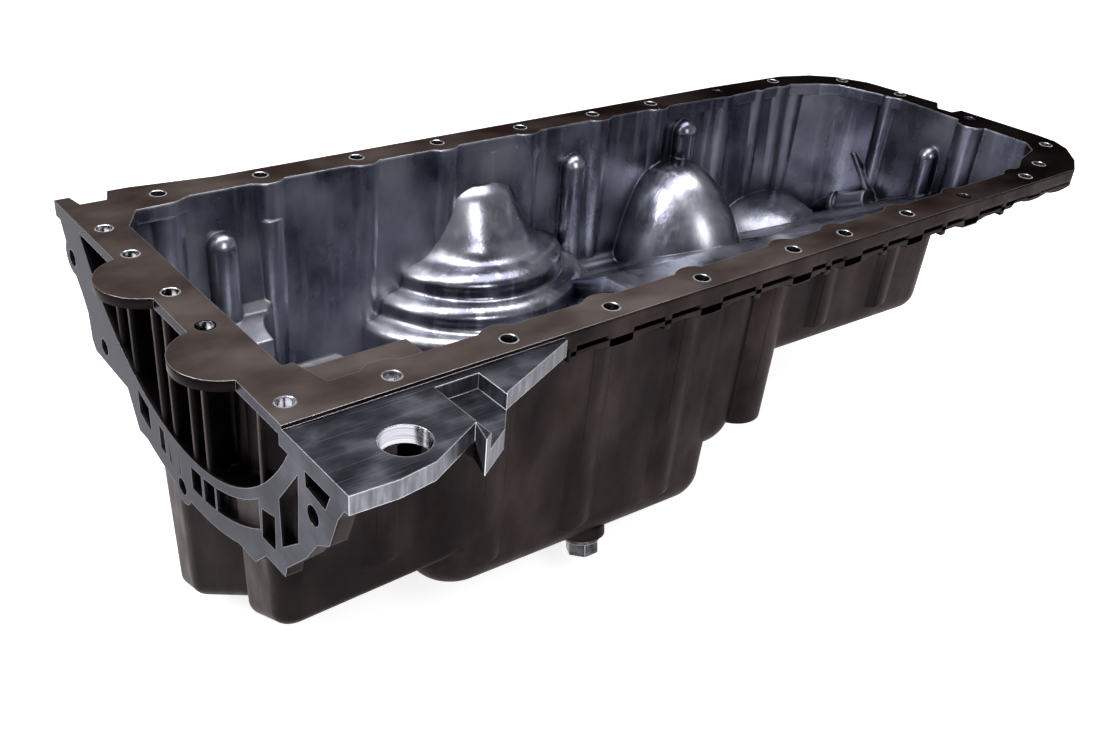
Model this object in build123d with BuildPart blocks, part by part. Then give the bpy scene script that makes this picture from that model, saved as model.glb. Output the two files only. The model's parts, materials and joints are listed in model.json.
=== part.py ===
from build123d import *
from math import atan2, cos, degrees, radians, sin
import os

os.makedirs("parts", exist_ok=True)

# Cast engine oil pan, in mm. The frame is the engine's: x = 0 is the machined face that bolts to
# the gearbox and +X runs along the crank to the front end, z = 0 is the machined rail that seals
# to the block and +Z is up, and y = 0 lies midway between the two long rows of rail bolts.
# The engine leans over, so in this frame the floors of the sump fall towards +Y.

# --- casting ---
wall = 6.0
draft = 1.9
reach = 260.0

# --- rail, seen from above ---
rail_depth = 10.0
bolt_d = 9.0
bolt_line = 130.0
rail_edge = 141.0
corner_edge = 148.0
strip = 24.0
strip_depth = 6.0
opening_side = 118.5
opening_front = 702.0
scallop_r = 16.0
far_bolts = (57, 126, 198, 265, 341, 414, 478, 558, 631)
near_bolts = (64, 134, 204.5, 275.5, 357, 408, 476, 544, 626.5)
gearbox_row_x = 10.5
gearbox_row = (95, 55.5, 2, -40.5, -124.5)
front_row_x = 714.0
front_row = (50, -23, -96)
corner_bolts = ((697, 103), (663.5, -119.5))

# --- bolt bosses and webs under the rail, and the ribs that carry them down the walls ---
boss_r = 14.0
boss_depth = 19.0
front_boss_x = 600.0
front_boss_depth = 13.0
rim_web = 5.0
rib_r = 20.0
rib_proud = 4.0
rib_foot = 18.0

# --- gearbox end ---
crank_y = -21.0
crank_z = 63.0
flywheel_r = 146.0
bell_depth = 17.0
plate_depth = 9.0
ring_r = 179.0
groove_r = 167.0
lip = 6.0
pocket_depth = 6.0
bell_bolt_r = 175.0
bell_bolt_d = 10.5
bell_boss_r = 11.0
bell_bolt_angles = (-147.0, -88.0, -51.0, -32.0)
web = 3.5
web_set_back = 1.5
webs_y = (-115, -51, -34, -8, 8, 44, 62)
lobe_r = 28.0
lobe_x = 8.0
lobes_y = (26.5, -69)
port_y = -99.0
port_z = -31.0
port_r = 21.0
port_depth = 51.0
shelf_z = -4.0
shelf_x = 93.0
shelf_y = -97.0
shelf_depth = 56.0

# --- side bracket ---
bracket_top = -2.0
bracket_thick = 10.0
bracket_hole_d = 25.0
bracket_hole = (41.5, -177.0)
bracket_pocket = 9.0
bracket_heel = 20.0

# --- sump, outside ---
side = opening_side + wall
front_wall = opening_front + wall
deep_x = 98.0
deep_end = 338.0
deep_fall = 0.06
middle_x = 280.0
middle_end = 360.0
shallow_x = 330.0
shallow_end = 543.0
shallow_fall = 0.04

# --- posts, pilasters, fins and oil tube cast on the inside ---
bump_set = 2.0
far_bumps = ((126.5, 12, -26), (540, 9, 0), (601, 10, 0), (652, 12, 0))
end_bumps = ((53, 8, 0), (-33, 13, 0))
far_posts = ((90, 10, -28), (386, 10.5, -24), (508, 11, -14))
end_post = (-2, 10, -30)
post_set = 3.0
fin = 4.0
fin_proud = 11.0
fins = (((110, -102), (73, -125)), ((70, -60), (34, -105)))
tube_r = 11.0
tube_x = 690.0
tube_ends = ((112, -131), (40, -95))
tube_ring = 3.0

# --- domes in the far wall, inside ---
stack_at = (300.0, 139.0)
stack_profile = [(0, -31), (14, -33), (25, -40), (33, -52), (39, -66), (46, -78), (57, -85),
                 (66, -89), (71, -95), (75, -102), (83, -107), (88, -113), (92, -119),
                 (99, -124), (104, -131), (106, -142)]
hood_at = (495.0, 116.0)
hood_sections = [(-240, 64, 104), (-130, 58, 95), (-95, 49, 80), (-70, 39, 62), (-52, 25, 40),
                 (-45, 8, 14)]
barrel_at = (620.0, 118.0)
barrel_sections = [(-240, 64, 90), (-135, 58, 82), (-115, 48, 70), (-104, 32, 50), (-100, 10, 16)]

# --- drain ---
drain_x = 227.0
drain_y = -104.0
drain_boss_r = 15.0
drain_boss_h = 2.0
thread_d = 14.0
thread_gap = 0.15
hex_across = 19.0
hex_h = 9.0
flange_d = 23.0
flange_h = 2.5
shank_l = 16.0
washer_d = 21.5
washer_h = 1.6


def seen_from_above(points, high, low, corner_r=0.0):
    """A prism with its outline in x and y, between two heights."""
    with BuildPart() as block:
        with BuildSketch(Plane.XY.offset(low)) as outline:
            with BuildLine():
                Polyline(*points, close=True)
            make_face()
            if corner_r:
                fillet(outline.vertices(), corner_r)
        extrude(amount=high - low)
    return block.part


def tub(skin, plan, plan_r, floor, bend_r, edge_r, plain=False, fall=0.0):
    """One stretch of the tub: drafted walls round a plan, closed by a floor line across it.

    skin is 0 for the outside of the casting and the wall thickness for its inside. A plain
    stretch has its foot chamfered, where a round one would be out of reach. The floor can fall
    along the engine from its line, which stands at the stretch's first station.
    """
    xs = [x for x, y in plan]
    with BuildPart() as stretch:
        with BuildSketch(Plane.XY.offset(-rail_depth)) as outline:
            with BuildLine():
                Polyline(*plan, close=True)
            make_face()
            fillet(outline.vertices(), plan_r)
            if skin:
                offset(amount=-skin)
        extrude(amount=-reach, taper=draft)
        with BuildSketch(Plane.YZ.offset(min(xs))) as cross:
            with BuildLine():
                Polyline((-2 * side, reach), *floor, (2 * side, reach), close=True)
            make_face()
            bends = [v for v in cross.vertices() if abs(v.Y) < side and v.Z < 0]
            if bends:
                fillet(bends, bend_r)
            if skin:
                offset(amount=-skin)
        extrude(amount=reach, dir=(1, 0, -fall), mode=Mode.INTERSECT)
        downward = stretch.faces().filter_by(lambda f: f.normal_at().Z < -0.6)
        inner = [e for f in downward for e in f.edges()]
        rim = [e for e in inner if sum(e.is_same(o) for o in inner) == 1]
        if plain:
            chamfer(rim, (edge_r - skin) / 2)
        else:
            fillet(rim, edge_r - skin)
    return stretch.part


def floor_line(near_z, *bends):
    """A floor from the near wall through its bends, run on past both walls."""
    points = [(-side, near_z), *bends]
    (y0, z0), (y1, z1) = points[0], points[1]
    (y2, z2), (y3, z3) = points[-2], points[-1]
    first = (-2 * side, z0 + (z1 - z0) * (-side) / (y1 - y0))
    last = (2 * side, z3 + (z3 - z2) * (2 * side - y3) / (y3 - y2))
    return [first, *bends[:-1], last] if len(bends) > 1 else [first, last]


deep_floor = floor_line(-170, (14, -201), (75, -195), (side, -159))
step_floor = floor_line(-139, (42, -226), (90, -222))
back_floor = floor_line(-100, (14, -118), (side, -92))
middle_floor = floor_line(-150, (30, -160), (side, -172))
shallow_floor = floor_line(-85, (30, -92), (side, -140))
front_floor = floor_line(-22, (side, -146))
nose_plan = [(-4, -12), (0, 24), (58, 92), (140, 92), (140, -80), (24, -80)]
front_plan = [(490, -side), (655, -side), (front_wall, -96), (front_wall, 60), (688, 100),
              (650, side), (490, side)]


def sump(skin):
    """The whole tub, as its stretches joined, from the gearbox end to the front."""
    inside = skin > 0
    stretches = [
        tub(skin, [(5, -60), (150, -60), (150, side), (5, side)], 20, back_floor, 30, 16, True),
        tub(skin, [(1, -side), (1, -66), (140, -66), (140, -side)], 16, step_floor, 30, 8.5,
            inside),
        tub(skin, nose_plan, 20, step_floor, 60, 8.5, inside),
        tub(skin, plan_box(deep_x, deep_end), 34, deep_floor, 60, 22, inside, deep_fall),
        tub(skin, plan_box(middle_x, middle_end), 34, middle_floor, 60, 28, inside),
        tub(skin, plan_box(shallow_x, shallow_end), 24, shallow_floor, 40, 16, False,
            shallow_fall),
        tub(skin, front_plan, 18, front_floor, 30, 8),
    ]
    with BuildPart() as whole:
        add(stretches)
    return whole.part


def plan_box(x0, x1):
    """The plan of a stretch that runs from wall to wall between two stations."""
    return [(x0, -side), (x1, -side), (x1, side), (x0, side)]


def near_floor(x):
    """Height of the floor at the foot of the near wall."""
    if x < deep_x:
        return height_at(step_floor, -side)
    if x < deep_end:
        return height_at(deep_floor, -side) - deep_fall * (x - deep_x)
    if x < middle_end:
        return height_at(middle_floor, -side)
    if x < shallow_end:
        return height_at(shallow_floor, -side) - shallow_fall * (x - shallow_x)
    return height_at(front_floor, -side)


def height_at(floor, y):
    """Height of a floor line at one distance across the engine."""
    for (y0, z0), (y1, z1) in zip(floor, floor[1:]):
        if y0 <= y <= y1:
            return z0 + (z1 - z0) * (y - y0) / (y1 - y0)


def oval_dome(x, y, sections, smooth):
    """A dome lofted upwards through ellipses, each given by its height and two half axes."""
    with BuildPart() as dome:
        for z, a, b in sections:
            with BuildSketch(Plane(origin=(x, y, z))):
                Ellipse(a, b)
        loft(ruled=not smooth)
    return dome.part


def round_dome(x, y, profile):
    """A dome turned about an upright axis, from its crown down to its foot."""
    foot_r = profile[-1][0]
    with BuildPart() as dome:
        with BuildSketch(Plane(origin=(x, y, 0), x_dir=(1, 0, 0), z_dir=(0, -1, 0))):
            with BuildLine():
                Polyline(*profile, (foot_r, -reach), (0, -reach), close=True)
            make_face()
        revolve(axis=Axis((x, y, 0), (0, 0, 1)))
    return dome.part


def pushed_in(skin):
    """What pushes the walls into the sump, by its outer face or, with skin, its inner face."""
    grow = skin - wall
    with BuildPart() as bell:
        with BuildSketch(Plane.YZ.offset(-reach)):
            with Locations((crank_y, crank_z)):
                Circle(flywheel_r + skin)
        extrude(amount=reach + bell_depth + skin)
        with BuildSketch(Plane.YZ.offset(-reach)):
            with Locations((port_y, port_z)):
                Circle(port_r + skin)
        extrude(amount=reach + port_depth + skin)
        split(bisect_by=Plane.XY.offset(-strip_depth + skin), keep=Keep.BOTTOM)
    shelf = seen_from_above([(-reach, shelf_y + grow), (shelf_x + grow, shelf_y + grow),
                             (shelf_x + grow, -2 * side), (-reach, -2 * side)],
                            shelf_z + grow, shelf_z - shelf_depth - skin)
    inside = skin > 0
    domes = [round_dome(*stack_at, stack_profile if inside else stack_core),
             oval_dome(*hood_at, hood_sections if inside else hood_core, inside),
             oval_dome(*barrel_at, barrel_sections if inside else barrel_core, inside)]
    return [bell.part, shelf, *domes]


def webs_and_face():
    """The machined face that meets the gearbox: ring, arms, and the thin webs behind it."""
    ring_box = (ring_r + lip) * 2
    with BuildPart() as face:
        with BuildSketch(Plane.YZ) as outline:
            with BuildLine():
                Polyline(*face_outline, close=True)
            make_face()
            with BuildSketch(mode=Mode.ADD):
                with Locations((crank_y, crank_z)):
                    Circle(ring_r)
                with Locations((-30, -110)):
                    Rectangle(150, 60, mode=Mode.INTERSECT)
            with Locations(*bell_bolts[1:]):
                Circle(bell_boss_r)
            with BuildSketch(mode=Mode.SUBTRACT):
                with Locations((crank_y, crank_z)):
                    Circle(flywheel_r)
                with Locations((0, -strip_depth - ring_box / 2)):
                    Rectangle(2 * ring_box, ring_box, mode=Mode.INTERSECT)
        extrude(amount=plate_depth)
        with BuildSketch(Plane.YZ.offset(web_set_back)):
            with Locations(*[(y, -ring_box / 2 - strip_depth / 2) for y in webs_y]):
                Rectangle(web, ring_box)
            with Locations((crank_y, crank_z)):
                Circle(flywheel_r + lip / 2, mode=Mode.INTERSECT)
        extrude(amount=bell_depth - web_set_back + wall / 2)
        for pocket in face_windows:
            with BuildSketch(Plane.YZ):
                with BuildLine():
                    Polyline(*pocket, close=True)
                make_face()
            extrude(amount=plate_depth, mode=Mode.SUBTRACT)
        with BuildSketch(Plane.YZ):
            with Locations((crank_y, crank_z)):
                Circle(groove_r)
                Circle(flywheel_r + lip, mode=Mode.SUBTRACT)
            with BuildSketch(mode=Mode.INTERSECT):
                for low, high in groove_spans:
                    with Locations(((low + high) / 2, -ring_box / 2)):
                        Rectangle(high - low, ring_box)
        extrude(amount=pocket_depth, mode=Mode.SUBTRACT)
    return face.part


def bracket():
    """The arm that carries the pan's side mount, with its thick heel and open pocket."""
    with BuildPart() as arm:
        add(seen_from_above(bracket_outline, bracket_top, bracket_top - bracket_thick))
        add(seen_from_above(heel_outline, bracket_top, bracket_top - bracket_heel))
        add(seen_from_above(heel_pocket, bracket_top + 1, bracket_top - bracket_pocket),
            mode=Mode.SUBTRACT)
    return arm.part


def cast_inside():
    """Everything that stands on the inner walls, as solids that the cavity leaves standing."""
    end = opening_front
    with BuildPart() as relief:
        with BuildSketch(Plane.XY):
            with Locations(*far_row):
                Circle(scallop_r)
        extrude(amount=-reach)
        with BuildSketch(Plane.XY):
            with Locations(*near_row):
                Circle(scallop_r)
        extrude(amount=-boss_depth)
        for x, r, top in far_bumps:
            with BuildSketch(Plane.XY.offset(top)):
                with Locations((x, side)):
                    Circle(r)
            extrude(amount=-reach)
        for y, r, top in end_bumps:
            with BuildSketch(Plane.XY.offset(top)):
                with Locations((end + bump_set, y)):
                    Circle(r)
            extrude(amount=-reach)
        stands = [(x, opening_side - post_set, r, top) for x, r, top in far_posts]
        stands.append((end - post_set, *end_post))
        for x, y, r, top in stands:
            with Locations((x, y, top - r)):
                Sphere(r)
                Cylinder(r, reach, align=(Align.CENTER, Align.CENTER, Align.MAX))
        for (y0, z0), (y1, z1) in fins:
            lean = degrees(atan2(z1 - z0, y1 - y0))
            with BuildSketch(Plane.YZ.offset(end - fin_proud)):
                with Locations(Location(((y0 + y1) / 2, (z0 + z1) / 2), lean)):
                    SlotCenterToCenter(((y1 - y0) ** 2 + (z1 - z0) ** 2) ** 0.5, fin)
            extrude(amount=fin_proud + wall)
        (y0, z0), (y1, z1) = tube_ends
        along = Vector(0, y1 - y0, z1 - z0)
        with BuildSketch(Plane(origin=(tube_x, y0, z0), x_dir=(1, 0, 0), z_dir=along)):
            Circle(tube_r)
        extrude(amount=along.length)
        middle = (tube_x, (y0 + y1) / 2, (z0 + z1) / 2)
        with BuildSketch(Plane(origin=middle, x_dir=(1, 0, 0), z_dir=along)):
            Circle(tube_r + tube_ring)
        extrude(amount=2 * tube_ring)
    return relief.part


stack_core = [(r - wall, z - wall) for r, z in stack_profile[3::4]]
stack_core = [(0, stack_core[0][1]), *stack_core]
hood_core = [(z - wall / 2, a - wall, b - wall) for z, a, b in hood_sections[:5:2]]
barrel_core = [(z - wall / 2, a - wall, b - wall) for z, a, b in barrel_sections[:4:3]]
far_row = [(x, bolt_line) for x in far_bolts]
near_row = [(x, -bolt_line) for x in near_bolts]
side_bolts = far_row + near_row
rail_bolts = side_bolts + [(gearbox_row_x, y) for y in gearbox_row]
rail_bolts += [(front_row_x, y) for y in front_row] + list(corner_bolts)
bell_bolts = [(crank_y + bell_bolt_r * cos(radians(a)), crank_z + bell_bolt_r * sin(radians(a)))
              for a in bell_bolt_angles]

rail_outline = [
    (0, -rail_edge), (680, -rail_edge), (701, -129), (722, -110), (730, -95), (731, -78),
    (728, -20), (727, -6), (714, -5), (712, 8), (726, 18), (724, 30), (720, 60), (716, 88),
    (700, 114), (680, 128), (650, 137.5), (560, rail_edge), (100, rail_edge), (45, corner_edge),
    (32, corner_edge), (27, 135), (11, 135), (9, corner_edge), (0, corner_edge),
]
opening_outline = [
    (strip, -95), (strip, 92), (36, 112), (60, 113), (72, opening_side), (500, opening_side),
    (556, 115), (600, 117), (640, 116), (668, 105), (683, 95), (690, 75), (opening_front, 40),
    (opening_front, -86), (690, -98), (660, -106), (640, -116), (610, -opening_side),
    (36, -opening_side), (30, -95),
]
face_outline = [
    (-199, bracket_top), (-197, -10), (-190, -20), (-182, -40), (-171, -47), (-160, -62),
    (-140, -82), (-138, -89), (-118, -90), (-105, -103), (45, -108), (57, -85), (107, -84),
    (111, -78), (112, -60), (118, -50), (128, -38), (143, -6), (corner_edge - 4, 0),
    (-rail_edge, 0), (-rail_edge, bracket_top),
]
face_windows = [
    [(-185, -9), (-161, -9), (-162, -20), (-179, -22)],
    [(-155, -18), (-135, -44), (-136, -72), (-153, -58)],
    [(-130, -58), (-116, -62), (-115, -80), (-129, -79)],
]
groove_spans = [(-113, -62), (-60, -46), (-43, -30), (-15, 0), (5, 12), (25, 40)]
bracket_outline = [
    (0, -138), (0, -199), (24, -200.5), (44, -198), (76, -182), (72, -196), (92.6, -183),
    (104.5, -168.5), (162, -144), (162, -138),
]
heel_outline = [(76, -182), (72, -196), (92.6, -183), (104.5, -168.5), (112, -138), (68, -138)]
heel_pocket = [(77, -147), (103, -147), (103, -220), (77, -220)]

drain_z = height_at(deep_floor, drain_y) - deep_fall * (drain_x - deep_x)
drain_lean = height_at(deep_floor, drain_y + 1) - height_at(deep_floor, drain_y)
drain_plane = Plane(origin=(drain_x, drain_y, drain_z), x_dir=(1, 0, -deep_fall),
                    z_dir=(-deep_fall, drain_lean, -1))


# --- oil_pan: one casting, machined on its rail, its gearbox face and its bracket ---

with BuildPart() as cavity:
    add(sump(wall))
    with BuildSketch(Plane.XY.offset(-rail_depth)):
        with BuildLine():
            Polyline(*opening_outline, close=True)
        make_face()
    extrude(amount=rail_depth + 1)
    add(pushed_in(wall), mode=Mode.SUBTRACT)
    add(cast_inside(), mode=Mode.SUBTRACT)

with BuildPart() as oil_pan:
    add(sump(0))
    split(bisect_by=Plane.YZ, keep=Keep.TOP)
    with BuildSketch(Plane.XY.offset(-rail_depth)) as rail:
        with BuildLine():
            Polyline(*rail_outline, close=True)
        make_face()
    extrude(amount=rail_depth)
    with BuildSketch(Plane.XY.offset(-boss_depth)):
        with Locations(*[(x, y) for x, y in side_bolts if x < front_boss_x]):
            Circle(boss_r)
        for row in (far_bolts, near_bolts):
            edge = bolt_line if row is far_bolts else -bolt_line
            with Locations(*[((a + b) / 2, edge) for a, b in zip(row, row[1:])]):
                Rectangle(rim_web, 2 * (rail_edge - bolt_line))
        add(rail.sketch.moved(Location((0, 0, rail_depth - boss_depth))), mode=Mode.INTERSECT)
    extrude(amount=boss_depth - strip_depth)
    with BuildSketch(Plane.XY.offset(-front_boss_depth)):
        with Locations(*[(x, y) for x, y in side_bolts if x > front_boss_x], *corner_bolts):
            Circle(boss_r)
        add(rail.sketch.moved(Location((0, 0, rail_depth - front_boss_depth))),
            mode=Mode.INTERSECT)
    extrude(amount=front_boss_depth - strip_depth)
    for x, y in near_row:
        length = -near_floor(x) - rib_foot - rail_depth
        if length > boss_depth:
            with BuildSketch(Plane.XY.offset(-rail_depth)):
                with Locations((x, rib_r - side - rib_proud)):
                    Circle(rib_r)
            extrude(amount=length, dir=(0, sin(radians(draft)), -cos(radians(draft))))
    with BuildSketch(Plane.XY.offset(-strip_depth)):
        with Locations(*[(lobe_x, y) for y in lobes_y]):
            Circle(lobe_r)
    extrude(amount=strip_depth)
    add(pushed_in(0), mode=Mode.SUBTRACT)
    add(webs_and_face())
    add(bracket())
    with BuildSketch(drain_plane.offset(-wall)):
        Circle(drain_boss_r)
    extrude(amount=wall + drain_boss_h)
    add(cavity.part, mode=Mode.SUBTRACT)
    with Locations(*[(x, y, 0) for x, y in rail_bolts]):
        Cylinder(bolt_d / 2, reach, mode=Mode.SUBTRACT)
    with Locations((*bracket_hole, 0)):
        Cylinder(bracket_hole_d / 2, reach, mode=Mode.SUBTRACT)
    with BuildSketch(Plane.YZ.offset(-1)):
        with Locations(*bell_bolts):
            Circle(bell_bolt_d / 2)
    extrude(amount=plate_depth + 2, mode=Mode.SUBTRACT)
    with BuildSketch(drain_plane.offset(drain_boss_h)):
        Circle(thread_d / 2 + thread_gap)
    extrude(amount=-2 * shank_l, mode=Mode.SUBTRACT)


# --- drain_plug: hexagon head with its flange, and the shank in the drain boss ---
seat = drain_plane.offset(drain_boss_h)

with BuildPart() as plug_washer:
    with BuildSketch(seat):
        Circle(washer_d / 2)
        Circle(thread_d / 2 + thread_gap, mode=Mode.SUBTRACT)
    extrude(amount=washer_h)

with BuildPart() as drain_plug:
    with BuildSketch(seat.offset(washer_h)):
        Circle(flange_d / 2)
    extrude(amount=flange_h)
    with BuildSketch(seat.offset(washer_h + flange_h)):
        RegularPolygon(hex_across / 2, 6, major_radius=False)
    extrude(amount=hex_h)
    with BuildSketch(seat.offset(washer_h)):
        Circle(thread_d / 2)
    extrude(amount=-shank_l)

for piece, name in ((oil_pan, "oil_pan"), (drain_plug, "drain_plug"), (plug_washer, "plug_washer")):
    piece.part.label = name
    export_step(piece.part, f"parts/{name}.step")
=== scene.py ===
import json
from math import asin, cos, pi, radians, sin, tan

import bpy
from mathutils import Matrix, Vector
from mathutils.bvhtree import BVHTree


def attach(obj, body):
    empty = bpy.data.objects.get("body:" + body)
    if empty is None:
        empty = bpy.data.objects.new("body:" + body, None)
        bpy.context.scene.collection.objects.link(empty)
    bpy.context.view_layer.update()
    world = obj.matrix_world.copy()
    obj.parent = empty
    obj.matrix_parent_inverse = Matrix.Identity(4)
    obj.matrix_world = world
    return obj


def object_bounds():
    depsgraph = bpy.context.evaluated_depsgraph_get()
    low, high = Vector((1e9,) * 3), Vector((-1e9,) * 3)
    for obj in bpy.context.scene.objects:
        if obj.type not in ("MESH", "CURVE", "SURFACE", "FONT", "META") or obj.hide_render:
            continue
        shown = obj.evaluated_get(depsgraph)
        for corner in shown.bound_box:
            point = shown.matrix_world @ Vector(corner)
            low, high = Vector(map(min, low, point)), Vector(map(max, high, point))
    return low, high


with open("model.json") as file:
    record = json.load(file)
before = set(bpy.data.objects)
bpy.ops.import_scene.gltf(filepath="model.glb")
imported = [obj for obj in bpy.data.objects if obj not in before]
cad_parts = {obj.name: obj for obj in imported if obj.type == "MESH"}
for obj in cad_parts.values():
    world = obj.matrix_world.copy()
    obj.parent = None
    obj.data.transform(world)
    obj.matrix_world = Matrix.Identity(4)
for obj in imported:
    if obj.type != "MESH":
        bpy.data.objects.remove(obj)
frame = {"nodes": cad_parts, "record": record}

# Cast engine oil pan in its own frame, in metres: x = 0 is the gearbox face, z = 0 the rail, and
# y = 0 lies midway between the two long rows of rail bolts. One casting carries seven finishes:
# the sand-cast skin is left outside and inside, and what seals, bolts or carries is machined.

MM = 0.001
cad_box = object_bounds()
record = frame["record"]
mounts = {mount["name"]: mount for mount in record["mounts"]}

# --- where the casting's faces lie ---
FLAT = 0.02 * MM
RAIL_Z = 0.0
SHELF_Z = -4 * MM
RAIL_EDGE_Y = -141 * MM
BRACKET_Z = mounts["bracket_face"]["pos_m"][2]
BRACKET_Y = -141.1 * MM
BRACKET_FOOT = -13 * MM
HEEL = (76 * MM, 106 * MM, -23 * MM)
GEARBOX_X = 0.0
BOSS_Z = -19.5 * MM
NEAR_SIDE_Y = -100 * MM
DRAFT = tan(radians(1.9))

# --- holes: the two corner holes are on no bolt line, so the record states no mount for them ---
CORNER_HOLES = ((697 * MM, 103 * MM), (663.5 * MM, -119.5 * MM))
CORNER_HOLE_R = 4.5 * MM
RAIL_HOLE_MAX_R = 6 * MM

# --- rays that tell the sump's inside from the outside; they lean, so as to miss the seams ---
CLEAR = 0.3 * MM
WAYS_ROUND = 16
UP = Vector((0.02, 0.01, 1.0))
DOWN = Vector((0.02, 0.01, -1.0))

# --- studio, in metres and watts: the lamps are a name, place, size and power ---
PAPER_CENTRE_X, PAPER_REACH, PAPER_BEND, PAPER_TOP = 0.3, 5.0, 0.8, 1.0
PAPER_TURNS, PAPER_STEPS = 64, 8
PAPER_GLOW = 0.75
ROOM_LIGHT = 0.28
FLOOR_Z = cad_box[0][2] - 2 * MM
AIM = (0.35, 0.0, -0.1)
LAMPS = [
    ("overhead", (0.35, 0.1, 1.7), (2.0, 0.7), 27),
    ("left", (-1.1, 0.35, 1.1), (0.35, 1.0), 20),
    ("front", (-0.1, -1.5, 0.95), (0.5, 0.9), 12),
]

# --- added forms, in mm ---
DOME_CENTRE = (300, 139)
DOME_WALL_Y = 120
DOME_PROFILE = [
    (22, -35), (31, -41), (38, -52), (44, -65), (49, -76), (57, -83.5), (68, -87), (75, -91.5),
    (76, -97.5), (78.5, -102.5), (87, -105), (92.5, -109.5), (93.5, -116), (96.5, -120.5),
    (104, -123), (108.5, -128), (109, -138), (108, -150),
]
RIB_CENTRE = (-108.5, -10)
RIB_R = 20.15
RIB_HALF_ANGLE = radians(16)
RIBS = [
    (64, -24, -102), (134, -24, -102), (204.5, -12, -102), (275.5, -12, -102), (357, -12, -102),
    (408, -12, -70), (476, -12, -72.7),
]
LIP_FROM, LIP_TO, LIP_STEP = 168, 680, 3
LIP_CORNER = [(680, -141), (690.5, -135), (701, -129), (711.5, -119.5), (722, -110), (730, -95),
              (731, -78)]
LIP_DEEP, LIP_SHALLOW, LIP_SHALLOW_X = (-13.0, -15.8), (-11.0, -13.0), 0.6
LIP_THICK, LIP_SWELL, LIP_SWELL_REACH = 4.0, 2.4, 18
RIM_WIDTH, RIM_PROUD, RIM_COLUMNS = 0.9, 0.02, 40
RIM_LEAN, RIM_RISE = 0.6, 0.8


def colour(hex_code, alpha=1.0):
    """An sRGB hex colour as Blender's linear RGBA."""
    channels = [int(hex_code[i:i + 2], 16) / 255 for i in (0, 2, 4)]
    linear = [c / 12.92 if c <= 0.04045 else ((c + 0.055) / 1.055) ** 2.4 for c in channels]
    return (*linear, alpha)


def node(tree, kind, settings=None, links=None, **inputs):
    """Adds a node with its settings, input values and links, and returns it."""
    made = tree.nodes.new(kind)
    for key, value in (settings or {}).items():
        setattr(made, key, value)
    for key, value in inputs.items():
        made.inputs[key.replace("_", " ")].default_value = value
    for key, source in (links or {}).items():
        tree.links.new(source, made.inputs[key])
    return made


def new_material(name):
    """An empty material with its output node."""
    material = bpy.data.materials.new(name)
    material.use_nodes = True
    tree = material.node_tree
    tree.nodes.clear()
    output = node(tree, "ShaderNodeOutputMaterial")
    return material, tree, output


def per_metre(size_mm):
    """The scale of a texture whose features are about this many millimetres across."""
    return 1 / (size_mm * MM)


def stretched(tree, along, across, up):
    """Object coordinates scaled so that a texture's features have these lengths in mm."""
    where = node(tree, "ShaderNodeTexCoord").outputs["Object"]
    mapping = node(tree, "ShaderNodeMapping", links={"Vector": where},
                   Scale=(per_metre(along), per_metre(across), per_metre(up)))
    return mapping.outputs["Vector"]


def noise(tree, along, across, up, detail=3.0):
    """Cloudy noise, from 0 to 1, whose patches have these lengths in mm."""
    made = node(tree, "ShaderNodeTexNoise", links={"Vector": stretched(tree, along, across, up)},
                Scale=1.0, Detail=detail)
    return made.outputs["Fac"]


def ramp(tree, source, stops):
    """Colours by a 0 to 1 value: stops are positions and hex colours."""
    made = node(tree, "ShaderNodeValToRGB", links={"Fac": source})
    while len(made.color_ramp.elements) < len(stops):
        made.color_ramp.elements.new(1.0)
    for element, (place, hex_code) in zip(made.color_ramp.elements, stops):
        element.position = place
        element.color = colour(hex_code)
    return made.outputs["Color"]


def spread(tree, source, from_low, from_high, to_low, to_high):
    """A value mapped from one range to another, and held at the ends."""
    made = node(tree, "ShaderNodeMapRange", links={"Value": source}, From_Min=from_low,
                From_Max=from_high, To_Min=to_low, To_Max=to_high)
    return made.outputs["Result"]


def blended(tree, factor, first, second):
    """Two colours mixed by a 0 to 1 value."""
    made = node(tree, "ShaderNodeMix", {"data_type": "RGBA"}, {"Factor": factor})
    tree.links.new(first, made.inputs[6])
    if isinstance(second, str):
        made.inputs[7].default_value = colour(second)
    else:
        tree.links.new(second, made.inputs[7])
    return made.outputs[2]


def rounded(tree, radius_mm):
    """The surface's normal with its edges rounded off, as a broken edge catches the light."""
    made = node(tree, "ShaderNodeBevel", {"samples": 6}, Radius=radius_mm * MM)
    return made.outputs["Normal"]


def edges(tree, soft_normal, sharpest):
    """1 on the edges that a rounded normal turns away from the face, and 0 on the flats: the mask
    for painted edge highlights, partly edge wear.
    """
    face = node(tree, "ShaderNodeNewGeometry").outputs["Normal"]
    turn = node(tree, "ShaderNodeVectorMath", {"operation": "DOT_PRODUCT"})
    tree.links.new(soft_normal, turn.inputs[0])
    tree.links.new(face, turn.inputs[1])
    return spread(tree, turn.outputs["Value"], 1.0, sharpest, 0.0, 1.0)


def towards(tree, end, start, share):
    """0 up to the start point, rising to this share at the end point, and held beyond it."""
    step = Vector(end) - Vector(start)
    step /= step.length_squared
    where = node(tree, "ShaderNodeTexCoord").outputs["Object"]
    along = node(tree, "ShaderNodeVectorMath", {"operation": "DOT_PRODUCT"})
    tree.links.new(where, along.inputs[0])
    along.inputs[1].default_value = step
    begin = step.dot(Vector(start))
    return spread(tree, along.outputs["Value"], begin, begin + 1.0, 0.0, share)


def painted_fold_shade(tree, reach_mm):
    """1 in corners and folds that metal crowds within this distance, and 0 in the open: the mask
    for painted shade.
    """
    made = node(tree, "ShaderNodeAmbientOcclusion", {"samples": 4}, Distance=reach_mm * MM)
    return spread(tree, made.outputs["AO"], 0.95, 0.35, 0.0, 1.0)


def bumped(tree, height, depth_mm, normal, strength=1.0):
    """A normal that follows a height from 0 to 1, over this depth in mm."""
    made = node(tree, "ShaderNodeBump", links={"Height": height, "Normal": normal},
                Strength=strength, Distance=depth_mm * MM)
    return made.outputs["Normal"]


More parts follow.
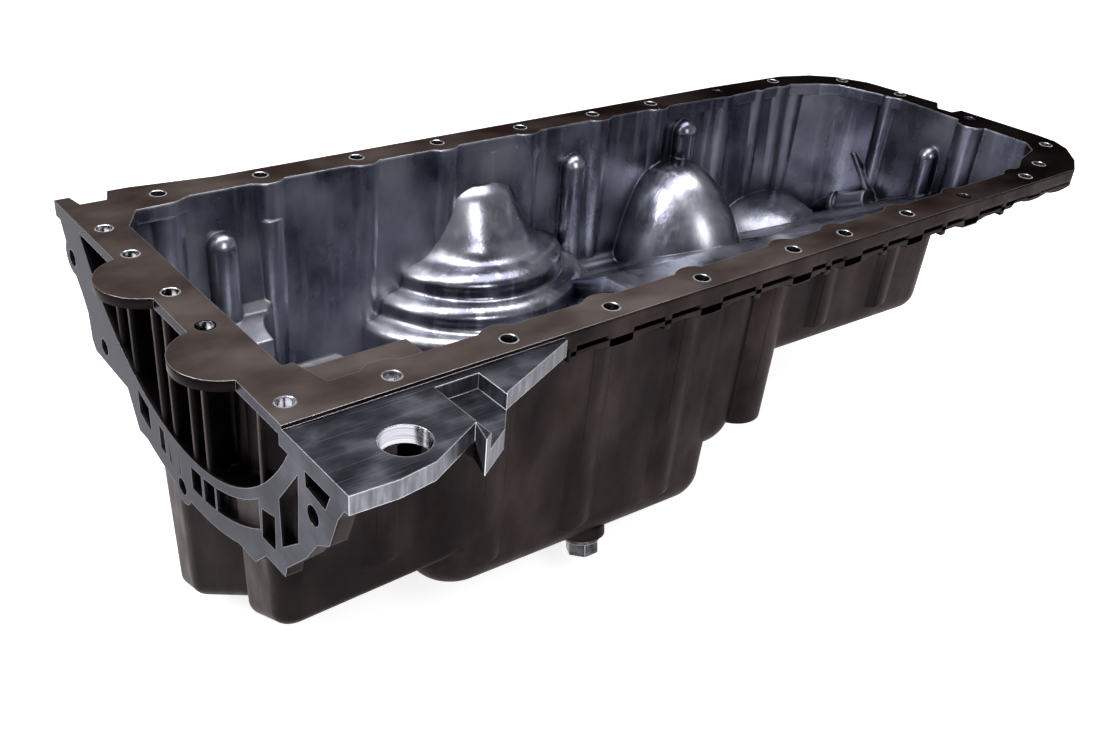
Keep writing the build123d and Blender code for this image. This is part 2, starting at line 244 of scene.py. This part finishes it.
def metal(tone, roughness, normal, tree, output, edge_tint="ffffff"):
    """Closes a metal material over its colour, roughness and normal; oil dims its edge tint."""
    links = {"Base Color": tone, "Normal": normal}
    if not isinstance(roughness, float):
        links["Roughness"] = roughness
    shade = node(tree, "ShaderNodeBsdfPrincipled", links=links, Metallic=1.0)
    if isinstance(roughness, float):
        shade.inputs["Roughness"].default_value = roughness
    shade.inputs["Specular Tint"].default_value = colour(edge_tint)
    tree.links.new(shade.outputs["BSDF"], output.inputs["Surface"])


def cast_skin_inside(name, edge_mm, shade_reach_mm):
    """Sand-cast aluminium, washed clean inside: blue grey with soft gloss, so that domes and
    posts carry white highlights, with paler vertical stripes of painted sheen down the walls,
    painted shade in the folds, and painted shade that darkens it towards the front end."""
    material, tree, output = new_material(name)
    soft = rounded(tree, edge_mm)
    sheen_streaks = noise(tree, 9, 9, 90, 6.0)
    clouds = noise(tree, 45, 45, 60, 5.0)
    pits = noise(tree, 2.2, 2.2, 2.2, 4.0)
    tone = ramp(tree, clouds, [(0.34, "686977"), (0.50, "a0a2ae"), (0.66, "c6c7d0")])
    # Painted sheen: paler vertical stripes down the walls.
    tone = blended(tree, spread(tree, sheen_streaks, 0.54, 0.70, 0.0, 0.6), tone, "d0d1d8")
    # Painted shade: the inside darkens towards the front end.
    painted_shade = towards(tree, (0.65, 0.0, 0.0), (0.35, 0.0, 0.0), 0.4)
    tone = blended(tree, painted_shade, tone, "4a4b57")
    # Painted shade: the tone darkens in corners and folds, by ambient occlusion.
    if shade_reach_mm:
        tone = blended(tree, painted_fold_shade(tree, shade_reach_mm), tone, "3a3b46")
    roughness = spread(tree, clouds, 0.35, 0.65, 0.22, 0.36)
    normal = bumped(tree, clouds, 1.2, soft, 0.5)
    normal = bumped(tree, sheen_streaks, 0.25, normal, 0.5)
    normal = bumped(tree, pits, 0.12, normal, 0.6)
    metal(tone, roughness, normal, tree, output)
    return material


def cast_skin_outside(name, edge_mm):
    """Sand-cast aluminium outside: brown black and satin, far darker than the inside skin,
    with rusty and bluish clouds and fine pits, and painted shade towards the gearbox end."""
    material, tree, output = new_material(name)
    soft = rounded(tree, edge_mm)
    clouds = noise(tree, 38, 38, 70, 5.0)
    stains = noise(tree, 16, 16, 30, 6.0)
    pits = noise(tree, 1.8, 1.8, 1.8, 4.0)
    tone = ramp(tree, clouds, [(0.34, "151213"), (0.50, "221d1d"), (0.66, "312a29")])
    tone = blended(tree, spread(tree, stains, 0.55, 0.70, 0.0, 0.5), tone, "281d19")
    # Painted shade: the skin darkens towards the gearbox end.
    tone = blended(tree, towards(tree, (0.0, 0.0, 0.0), (0.20, 0.0, 0.0), 0.6), tone, "0c0b0d")
    roughness = spread(tree, stains, 0.35, 0.65, 0.38, 0.50)
    normal = bumped(tree, clouds, 1.0, soft, 0.5)
    normal = bumped(tree, pits, 0.15, normal, 0.7)
    metal(tone, roughness, normal, tree, output, edge_tint="e0dada")
    return material


def milled_rail():
    """Face-milled aluminium: brown grey with faint cutter lines along the rail, painted shade
    that turns it nearly black to the far end, and a bright edge line, partly wear, partly painted
    highlight."""
    material, tree, output = new_material("milled_aluminium_rail")
    soft = rounded(tree, 0.7)
    # Cutter feed is about 0.3 mm; the lines are drawn 1.5 mm apart so that they show.
    lines = noise(tree, 180, 1.5, 1.5, 2.0)
    clouds = noise(tree, 60, 40, 40, 4.0)
    tone = ramp(tree, clouds, [(0.36, "7a6c68"), (0.52, "8e817d"), (0.66, "9c908c")])
    tone = blended(tree, spread(tree, lines, 0.52, 0.66, 0.0, 0.2), tone, "8d8380")
    # Painted shade: the rail turns nearly black towards its far end.
    painted_shade = towards(tree, (0.60, 0.10, 0.0), (0.25, -0.05, 0.0), 0.9)
    tone = blended(tree, painted_shade, tone, "1c1819")
    # Painted highlight, partly edge wear: a bright line along the broken edges.
    tone = blended(tree, edges(tree, soft, 0.85), tone, "e6e4e6")
    roughness = spread(tree, clouds, 0.35, 0.65, 0.30, 0.38)
    normal = bumped(tree, lines, 0.01, soft, 0.6)
    metal(tone, roughness, normal, tree, output, edge_tint="827a78")
    return material


def milled_bracket():
    """Milled aluminium with no oil film: cool blue grey with pale clouds and short scratches,
    and bright edges, partly wear, partly painted highlight.
    """
    material, tree, output = new_material("milled_aluminium_bracket")
    soft = rounded(tree, 0.9)
    clouds = noise(tree, 24, 15, 20, 6.0)
    scratches = noise(tree, 45, 0.7, 0.7, 2.0)
    tone = ramp(tree, clouds, [(0.36, "44444f"), (0.52, "5a5a66"), (0.66, "767682")])
    tone = blended(tree, spread(tree, scratches, 0.60, 0.72, 0.0, 0.5), tone, "b4b4be")
    # Painted highlight, partly edge wear: bright lines along the edges.
    tone = blended(tree, edges(tree, soft, 0.85), tone, "f2f2f6")
    roughness = spread(tree, clouds, 0.35, 0.65, 0.28, 0.42)
    normal = bumped(tree, scratches, 0.02, soft, 0.6)
    metal(tone, roughness, normal, tree, output)
    return material


def milled_gearbox_face():
    """Milled aluminium on the gearbox end: grey below the bracket and painted shade, nearly
    black, along the arch, with thin pale edges round every arm and window, partly wear, partly
    painted highlight."""
    material, tree, output = new_material("milled_aluminium_gearbox_face")
    soft = rounded(tree, 0.8)
    clouds = noise(tree, 20, 30, 30, 5.0)
    lines = noise(tree, 1.2, 60, 1.2, 2.0)
    tone = ramp(tree, clouds, [(0.36, "26262b"), (0.52, "34343a"), (0.66, "484850")])
    tone = blended(tree, spread(tree, lines, 0.56, 0.70, 0.0, 0.3), tone, "5c5c66")
    # Painted shade: nearly black along the arch.
    painted_shade = towards(tree, (0.0, -0.07, -0.06), (0.0, -0.15, -0.06), 0.85)
    tone = blended(tree, painted_shade, tone, "0c0c10")
    # Painted highlight, partly edge wear: pale lines along the broken edges.
    tone = blended(tree, edges(tree, soft, 0.85), tone, "a0a0aa")
    metal(tone, 0.36, soft, tree, output, edge_tint="d8d8dc")
    return material


def trimmed_edge():
    """Aluminium ground along the bracket's edge: pale grey, matt, with cross-wise marks and
    bright edges, partly wear, partly painted highlight.
    """
    material, tree, output = new_material("ground_aluminium_edge")
    soft = rounded(tree, 0.9)
    marks = noise(tree, 3, 3, 20, 4.0)
    tone = ramp(tree, marks, [(0.36, "5c5c64"), (0.52, "6c6c74"), (0.66, "80808a")])
    # Painted highlight, partly edge wear: bright lines along the edges.
    tone = blended(tree, edges(tree, soft, 0.85), tone, "e8e8ee")
    metal(tone, 0.42, bumped(tree, marks, 0.08, soft, 0.6), tree, output)
    return material


def bored_hole():
    """Drilled and chamfered aluminium: bright, with fine rings down the hole."""
    material, tree, output = new_material("bored_aluminium")
    soft = rounded(tree, 0.6)
    rings = noise(tree, 40, 40, 0.8, 2.0)
    tone = ramp(tree, rings, [(0.35, "8c8c94"), (0.65, "bcbcc4")])
    normal = bumped(tree, rings, 0.03, soft, 0.6)
    metal(tone, 0.22, normal, tree, output)
    return material


def chamfer():
    """Freshly chamfered aluminium: the brightest metal on the pan."""
    material, tree, output = new_material("chamfered_aluminium")
    rings = noise(tree, 6, 6, 6, 3.0)
    tone = ramp(tree, rings, [(0.35, "b4b4ba"), (0.65, "e0e0e4")])
    face = node(tree, "ShaderNodeNewGeometry").outputs["Normal"]
    metal(tone, 0.25, face, tree, output)
    return material


def plated_steel():
    """Plated steel, nearly black and glossy, with bright edges: partly wear, partly painted
    highlight.
    """
    material, tree, output = new_material("plated_steel")
    soft = rounded(tree, 0.5)
    clouds = noise(tree, 5, 5, 5, 4.0)
    tone = ramp(tree, clouds, [(0.35, "2c2c2e"), (0.65, "56565a")])
    # Painted highlight, partly edge wear: bright lines along the edges.
    tone = blended(tree, edges(tree, soft, 0.85), tone, "f4f2ee")
    roughness = spread(tree, clouds, 0.35, 0.65, 0.18, 0.30)
    metal(tone, roughness, soft, tree, output)
    return material


def soft_washer():
    """Soft aluminium washer, pressed flat: pale and matt."""
    material, tree, output = new_material("washer_aluminium")
    soft = rounded(tree, 0.3)
    clouds = noise(tree, 4, 4, 4, 4.0)
    tone = ramp(tree, clouds, [(0.35, "8c8c90"), (0.65, "b0b0b4")])
    metal(tone, 0.45, soft, tree, output)
    return material


def drilled():
    """Centre and radius of each round hole through the rail and the bracket."""
    holes = [(x, y, CORNER_HOLE_R) for x, y in CORNER_HOLES]
    for mount in record["mounts"]:
        x, y, _ = mount["pos_m"]
        dims = mount["dims"]
        if mount["kind"] == "bolt_pattern":
            half_x = dims.get("spacing_x_mm", 0) * MM / 2
            half_y = dims.get("spacing_y_mm", 0) * MM / 2
            for side in (-1, 1):
                holes.append((x + side * half_x, y + side * half_y, dims["hole_r_mm"] * MM))
        if mount["name"] == "bracket_bore":
            holes.append((x, y, dims["r_mm"] * MM))
    return holes


def rail_holes():
    """The holes of the rail alone."""
    return [hole for hole in drilled() if hole[2] < RAIL_HOLE_MAX_R]


def finish_of(points, centre, normal, holes, tree):
    """Which of the casting's finishes a face has, by where it lies and what it faces."""
    upward = normal.z > 0.9
    heel_x0, heel_x1, heel_z = HEEL
    if upward and all(abs(p.z - RAIL_Z) < FLAT or abs(p.z - SHELF_Z) < FLAT for p in points):
        return "rail"
    if all(abs(p.x - GEARBOX_X) < FLAT for p in points):
        return "gearbox_face"
    for x, y, r in holes:
        near_axis = all((p.x - x) ** 2 + (p.y - y) ** 2 < (r + FLAT) ** 2 for p in points)
        if near_axis and centre.z > BOSS_Z:
            return "bore"
    if centre.y < BRACKET_Y and centre.z > BRACKET_FOOT:
        return "bracket" if upward else "edge"
    if centre.y < BRACKET_Y and heel_x0 < centre.x < heel_x1 and centre.z > heel_z:
        return "edge"
    if upward and all(abs(p.z - BRACKET_Z) < FLAT for p in points):
        return "bracket"
    return "inside" if enclosed(tree, centre + normal * CLEAR) else "outside"


def enclosed(tree, point):
    """True for a point in the sump: metal lies below it and, but for a stray gap, all round."""
    turn = 2 * pi / WAYS_ROUND
    around = [Vector((cos(i * turn + 0.1), sin(i * turn + 0.1), 0.0)) for i in range(WAYS_ROUND)]
    open_ways = sum(tree.ray_cast(point, way)[0] is None for way in around)
    return open_ways <= 1 and tree.ray_cast(point, DOWN)[0] is not None


def in_metal(tree, point):
    """True for a point within the casting, whose way up leads out of a face that looks up."""
    hit, normal, _, _ = tree.ray_cast(point, UP)
    return hit is not None and normal.z > 0


def dress_casting(mesh, tree):
    """Gives each face of the casting the slot of its finish."""
    finishes = {"outside": cast_skin_outside("cast_aluminium_outside", 4.0),
                "inside": cast_skin_inside("cast_aluminium_inside", 2.5, 25),
                "rail": milled_rail(), "bracket": milled_bracket(), "bore": bored_hole(),
                "gearbox_face": milled_gearbox_face(), "edge": trimmed_edge()}
    mesh.materials.clear()
    for material in finishes.values():
        mesh.materials.append(material)
    order = list(finishes)
    holes = drilled()
    for face in mesh.polygons:
        points = [mesh.vertices[i].co for i in face.vertices]
        name = finish_of(points, face.center, face.normal, holes, tree)
        face.material_index = order.index(name)


def dress(node_name, material):
    """Gives a whole piece one finish."""
    mesh = frame["nodes"][node_name].data
    mesh.materials.clear()
    mesh.materials.append(material)


def add_piece(name, mesh, material, smooth=True):
    """Puts a mesh of the casting's own metal on the pan."""
    for face in mesh.polygons:
        face.use_smooth = smooth
    mesh.materials.append(material)
    piece = bpy.data.objects.new(name, mesh)
    bpy.context.scene.collection.objects.link(piece)
    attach(piece, "root")
    return piece


def curve_through(points, steps):
    """Points on the smooth curve through these points, with this many to each span."""
    ends = [points[0], *points, points[-1]]
    made = []
    for before, start, end, after in zip(ends, ends[1:], ends[2:], ends[3:]):
        for step in range(steps):
            t = step / steps
            made.append(tuple(
                0.5 * (2 * b + (c - a) * t + (2 * a - 5 * b + 4 * c - d) * t * t
                       + (3 * b - a - 3 * c + d) * t ** 3)
                for a, b, c, d in zip(before, start, end, after)))
    return [*made, points[-1]]


def wrap(rows, columns):
    """Faces between rows of points."""
    return [(row * columns + i, row * columns + i + 1,
             (row + 1) * columns + i + 1, (row + 1) * columns + i)
            for row in range(rows - 1) for i in range(columns - 1)]


def stacked_dome(tree):
    """The skin of the stacked dome: a blunt cone over three rolled ledges, cast in the far wall.

    The profile's radii and heights run down from the crown. The skin stays outside the plain
    cones below it, and stops inside the metal of the far wall on both sides and of the floor.
    """
    centre_x, centre_y = DOME_CENTRE
    columns = 97
    rings = curve_through(DOME_PROFILE, 5)
    points = []
    for radius, z in rings:
        hidden = asin((centre_y - DOME_WALL_Y + abs(z) * DRAFT) / radius)
        for column in range(columns):
            angle = pi + hidden + (pi - 2 * hidden) * column / (columns - 1)
            points.append(Vector((centre_x + radius * cos(angle),
                                  centre_y + radius * sin(angle), z)) * MM)
    shown = [in_metal(tree, point) or enclosed(tree, point) for point in points]
    faces = [face for face in wrap(len(rings), columns) if all(shown[i] for i in face)]
    used = sorted({i for face in faces for i in face})
    place = {old: new for new, old in enumerate(used)}
    mesh = bpy.data.meshes.new("stacked_dome_skin")
    mesh.from_pydata([points[i] for i in used], [],
                     [tuple(place[i] for i in face) for face in faces])
    piece = add_piece("stacked_dome_skin", mesh, cast_skin_inside("cast_aluminium_rolls", 1.5, 0))
    thicken(piece, 1.2)


def thicken(piece, thickness_mm):
    """Gives an open skin a back, this far inside it."""
    solid = piece.modifiers.new("thickness", "SOLIDIFY")
    solid.thickness = thickness_mm * MM
    solid.offset = -1.0
    bpy.context.view_layer.objects.active = piece
    with bpy.context.temp_override(object=piece, active_object=piece):
        bpy.ops.object.modifier_apply(modifier="thickness")


def rib_faces():
    """The round faces of the near ribs, which the solids leave notched by the bolt drillings."""
    centre_y, centre_z = RIB_CENTRE
    columns = 9
    points, faces = [], []
    for x, top, bottom in RIBS:
        start = len(points)
        for z in (top, bottom):
            y = centre_y + (centre_z - z) * DRAFT
            for column in range(columns):
                angle = RIB_HALF_ANGLE * (2 * column / (columns - 1) - 1)
                points.append(((x + RIB_R * sin(angle)) * MM, (y - RIB_R * cos(angle)) * MM,
                               z * MM))
        faces += [tuple(start + i for i in face) for face in wrap(2, columns)]
    mesh = bpy.data.meshes.new("rib_faces")
    mesh.from_pydata(points, [], [tuple(reversed(face)) for face in faces])
    piece = add_piece("rib_faces", mesh, cast_skin_outside("cast_aluminium_ribs", 1.0))
    thicken(piece, 1.0)
    mesh.set_sharp_from_angle(angle=radians(40))


def rim_lip():
    """The thin lip that ties the near bolt bosses together below the rail, as one wavy bar."""
    bolts = [x for x, y, _ in rail_holes() if y < NEAR_SIDE_Y]
    path = [(x * MM, RAIL_EDGE_Y) for x in range(LIP_FROM, LIP_TO, LIP_STEP)]
    path += [(x * MM, y * MM) for x, y in LIP_CORNER]
    points = []
    for (x, y), (after_x, after_y) in zip(path, path[1:]):
        inward = Vector((-(after_y - y), after_x - x)).normalized() * LIP_THICK * MM
        near = min(abs(x - bolt) for bolt in bolts)
        swell = max(0.0, 1.0 - (near / (LIP_SWELL_REACH * MM)) ** 2)
        top, foot = LIP_DEEP if x < LIP_SHALLOW_X else LIP_SHALLOW
        top, foot = top * MM, (foot - LIP_SWELL * swell) * MM
        back_x, back_y = x + inward.x, y + inward.y
        points += [(x, y, top), (x, y, foot), (back_x, back_y, foot), (back_x, back_y, top)]
    faces = [(0, 1, 2, 3), tuple(len(points) - 4 + i for i in (3, 2, 1, 0))]
    for start in range(0, len(points) - 4, 4):
        for side in range(4):
            after = (side + 1) % 4
            faces.append((start + side, start + 4 + side, start + 4 + after, start + after))
    mesh = bpy.data.meshes.new("rim_lip")
    mesh.from_pydata(points, [], faces)
    mesh.validate()
    add_piece("rim_lip", mesh, cast_skin_outside("cast_aluminium_rim", 1.0), smooth=False)


def hole_rims():
    """A bright ring round each hole in the rail, whose shading leans inwards as a chamfer's."""
    points, faces, normals = [], [], []
    for x, y, r in rail_holes():
        start = len(points)
        for column in range(RIM_COLUMNS):
            angle = 2 * pi * column / RIM_COLUMNS
            for radius in (r, r + RIM_WIDTH * MM):
                points.append((x + radius * cos(angle), y + radius * sin(angle),
                               RIM_PROUD * MM))
                normals.append((-RIM_LEAN * cos(angle), -RIM_LEAN * sin(angle), RIM_RISE))
        for column in range(RIM_COLUMNS):
            a, b = start + 2 * column, start + 2 * ((column + 1) % RIM_COLUMNS)
            faces.append((a, a + 1, b + 1, b))
    mesh = bpy.data.meshes.new("hole_rims")
    mesh.from_pydata(points, [], faces)
    add_piece("hole_rims", mesh, chamfer())
    mesh.normals_split_custom_set_from_vertices(normals)


def white_paper(glow):
    """Matt white paper, which the camera and the metal see a little brighter than it is lit."""
    material, tree, output = new_material("white_paper")
    paths = node(tree, "ShaderNodeLightPath").outputs
    seen = node(tree, "ShaderNodeMath", {"operation": "MAXIMUM"})
    tree.links.new(paths["Is Camera Ray"], seen.inputs[0])
    tree.links.new(paths["Is Glossy Ray"], seen.inputs[1])
    shown = node(tree, "ShaderNodeMath", {"operation": "MAXIMUM"})
    tree.links.new(seen.outputs[0], shown.inputs[0])
    tree.links.new(paths["Is Transmission Ray"], shown.inputs[1])
    strength = spread(tree, shown.outputs[0], 0.0, 1.0, 0.0, glow)
    shade = node(tree, "ShaderNodeBsdfPrincipled", Roughness=0.9,
                 links={"Emission Strength": strength})
    shade.inputs["Base Color"].default_value = colour("f4f4f4")
    shade.inputs["Emission Color"].default_value = colour("ffffff")
    tree.links.new(shade.outputs["BSDF"], output.inputs["Surface"])
    return material


def sweep():
    """The studio's paper: a round floor whose edge curves up into a low wall."""
    rings = [(PAPER_REACH - PAPER_BEND, FLOOR_Z)]
    for step in range(1, PAPER_STEPS + 1):
        angle = pi / 2 * step / PAPER_STEPS
        rings.append((PAPER_REACH - PAPER_BEND + PAPER_BEND * sin(angle),
                      FLOOR_Z + PAPER_BEND * (1 - cos(angle))))
    rings.append((PAPER_REACH, FLOOR_Z + PAPER_TOP))
    points = [(PAPER_CENTRE_X, 0.0, FLOOR_Z)]
    for radius, z in rings:
        for turn in range(PAPER_TURNS):
            angle = 2 * pi * turn / PAPER_TURNS
            points.append((PAPER_CENTRE_X + radius * cos(angle), radius * sin(angle), z))
    faces = [(0, 1 + turn, 1 + (turn + 1) % PAPER_TURNS) for turn in range(PAPER_TURNS)]
    for ring in range(len(rings) - 1):
        inner = 1 + ring * PAPER_TURNS
        outer = inner + PAPER_TURNS
        for turn in range(PAPER_TURNS):
            after = (turn + 1) % PAPER_TURNS
            faces.append((inner + turn, outer + turn, outer + after, inner + after))
    mesh = bpy.data.meshes.new("paper_sweep")
    mesh.from_pydata(points, [], faces)
    for face in mesh.polygons:
        face.use_smooth = True
    piece = bpy.data.objects.new("paper_sweep", mesh)
    bpy.context.scene.collection.objects.link(piece)
    mesh.materials.append(white_paper(PAPER_GLOW))


def lamp(name, place, size, watts):
    """A soft box: a rectangular area lamp turned to face the pan."""
    light = bpy.data.lights.new(name, "AREA")
    light.shape = "RECTANGLE"
    light.size, light.size_y = size
    light.energy = watts
    rig = bpy.data.objects.new(name, light)
    rig.location = place
    rig.rotation_euler = (Vector(AIM) - Vector(place)).to_track_quat("-Z", "Y").to_euler()
    bpy.context.scene.collection.objects.link(rig)


def studio():
    """A dim plain room with three soft boxes above the pan."""
    world = bpy.data.worlds.new("studio")
    bpy.context.scene.world = world
    world.use_nodes = True
    tree = world.node_tree
    tree.nodes.clear()
    back = node(tree, "ShaderNodeBackground", Strength=ROOM_LIGHT)
    back.inputs["Color"].default_value = colour("ffffff")
    output = node(tree, "ShaderNodeOutputWorld")
    tree.links.new(back.outputs["Background"], output.inputs["Surface"])
    for settings in LAMPS:
        lamp(*settings)


def camera():
    """The view from the gearbox end, over the bracket's side."""
    lens = bpy.data.cameras.new("camera")
    lens.sensor_width = 36.0
    lens.lens = 37.1
    view = bpy.data.objects.new("camera", lens)
    view.location = (-0.1889, -0.5294, 0.2859)
    view.rotation_euler = (radians(59.418), radians(-4.606), radians(-39.031))
    bpy.context.scene.collection.objects.link(view)
    bpy.context.scene.camera = view


casting = frame["nodes"]["oil_pan"].data
walls = BVHTree.FromPolygons([vertex.co for vertex in casting.vertices],
                             [tuple(face.vertices) for face in casting.polygons])
dress_casting(casting, walls)
stacked_dome(walls)
rib_faces()
rim_lip()
hole_rims()
dress("drain_plug", plated_steel())
dress("plug_washer", soft_washer())
sweep()
studio()
camera()
bpy.context.scene.view_settings.view_transform = "Standard"
